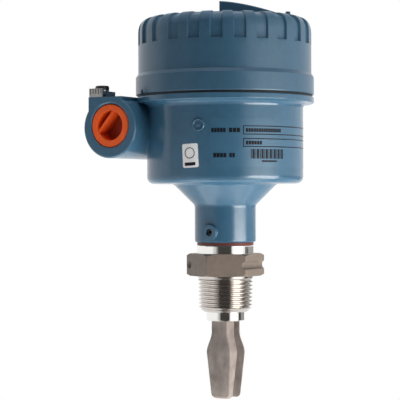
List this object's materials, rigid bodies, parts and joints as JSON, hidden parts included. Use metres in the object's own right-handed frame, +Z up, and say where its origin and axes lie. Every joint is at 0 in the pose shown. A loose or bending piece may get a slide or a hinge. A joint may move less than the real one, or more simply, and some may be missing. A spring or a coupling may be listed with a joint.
{
  "type": "vibrating fork level switch",
  "caption": "Point level switch with a painted cast housing, castellated screw cover, side conduit run, hexagon fitting with a taper thread and a short two-tined fork below.",
  "frame": {"origin": "on the switch's axis, at the underside of the hexagon where the taper thread begins", "axes": "+Z up along the axis to the cover, -Z to the fork's tips, conduit entries facing -Y and +Y, conduit run on the -X side, tines at -Y and +Y"},
  "size_m": [0.1217, 0.1072, 0.2353],
  "materials": {
    "blue_paint": "gloss paint on cast aluminium",
    "black_rubber": "matt rubber",
    "red_gasket": "matt gasket",
    "dark_steel": "blackened steel",
    "turned_steel": "turned stainless steel",
    "cast_steel": "blasted cast stainless steel",
    "orange_plastic": "moulded polyethylene",
    "plated_steel": "zinc plated steel",
    "black_plastic": "glass filled nylon",
    "green_plastic": "moulded polyamide",
    "brass": "plain brass",
    "amber_plastic": "moulded plastic",
    "lamp_lens": "clear tinted lens",
    "cream_plastic": "moulded plastic",
    "lead_sleeve": "insulated wire",
    "white_ceramic": "alumina ceramic",
    "piezo_ceramic": "fired ceramic"
  },
  "bodies": {
    "housing": {"housing": "blue_paint", "neck_gasket": "red_gasket", "neck_o_ring": "black_rubber", "neck_set_screw": "dark_steel", "process_fitting": "turned_steel", "fork": "cast_steel", "earth_clamp": "plated_steel", "earth_lock_washer": "plated_steel", "earth_screw": "dark_steel", "electronics_cassette": "black_plastic", "cassette_screws": "plated_steel", "terminal_block": "green_plastic", "terminal_cages": "brass", "terminal_screws": "plated_steel", "status_light": "lamp_lens", "inner_earth_washer": "brass", "inner_earth_screw": "brass", "sensor_socket": "cream_plastic", "sensor_leads": "lead_sleeve", "lead_guide": "cream_plastic", "stack_stud": "plated_steel", "stack_insulators": "white_ceramic", "piezo_rings": "piezo_ceramic", "electrode_shims": "brass", "pressure_disc": "plated_steel", "stack_nut": "plated_steel"},
    "seal": {"cover_seal": "black_rubber"},
    "cover": {"housing_cover": "blue_paint"},
    "transit_plug": {"transit_plug": "orange_plastic"},
    "blanking_plug": {"blanking_plug": "plated_steel"},
    "mode_dial": {"mode_dial": "amber_plastic"}
  },
  "joints": [
    {"name": "cover_turn", "type": "hinge", "parent": "housing", "child": "seal", "pos_m": [0, 0, 0.107], "axis": [0, 0, 1], "range_deg": [0, 2160]},
    {"name": "cover_lift", "type": "slide", "parent": "seal", "child": "cover", "axis": [0, 0, 1], "range_m": [0, 0.07]},
    {"name": "transit_plug_pull", "type": "slide", "parent": "housing", "child": "transit_plug", "axis": [0, -1, 0], "range_m": [0, 0.045]},
    {"name": "blanking_plug_pull", "type": "slide", "parent": "housing", "child": "blanking_plug", "axis": [0, 1, 0], "range_m": [0, 0.045]},
    {"name": "mode_dial_turn", "type": "hinge", "parent": "housing", "child": "mode_dial", "pos_m": [0.021, -0.011, 0.0963], "axis": [0, 0, 1], "range_deg": [-160, 160]}
  ]
}
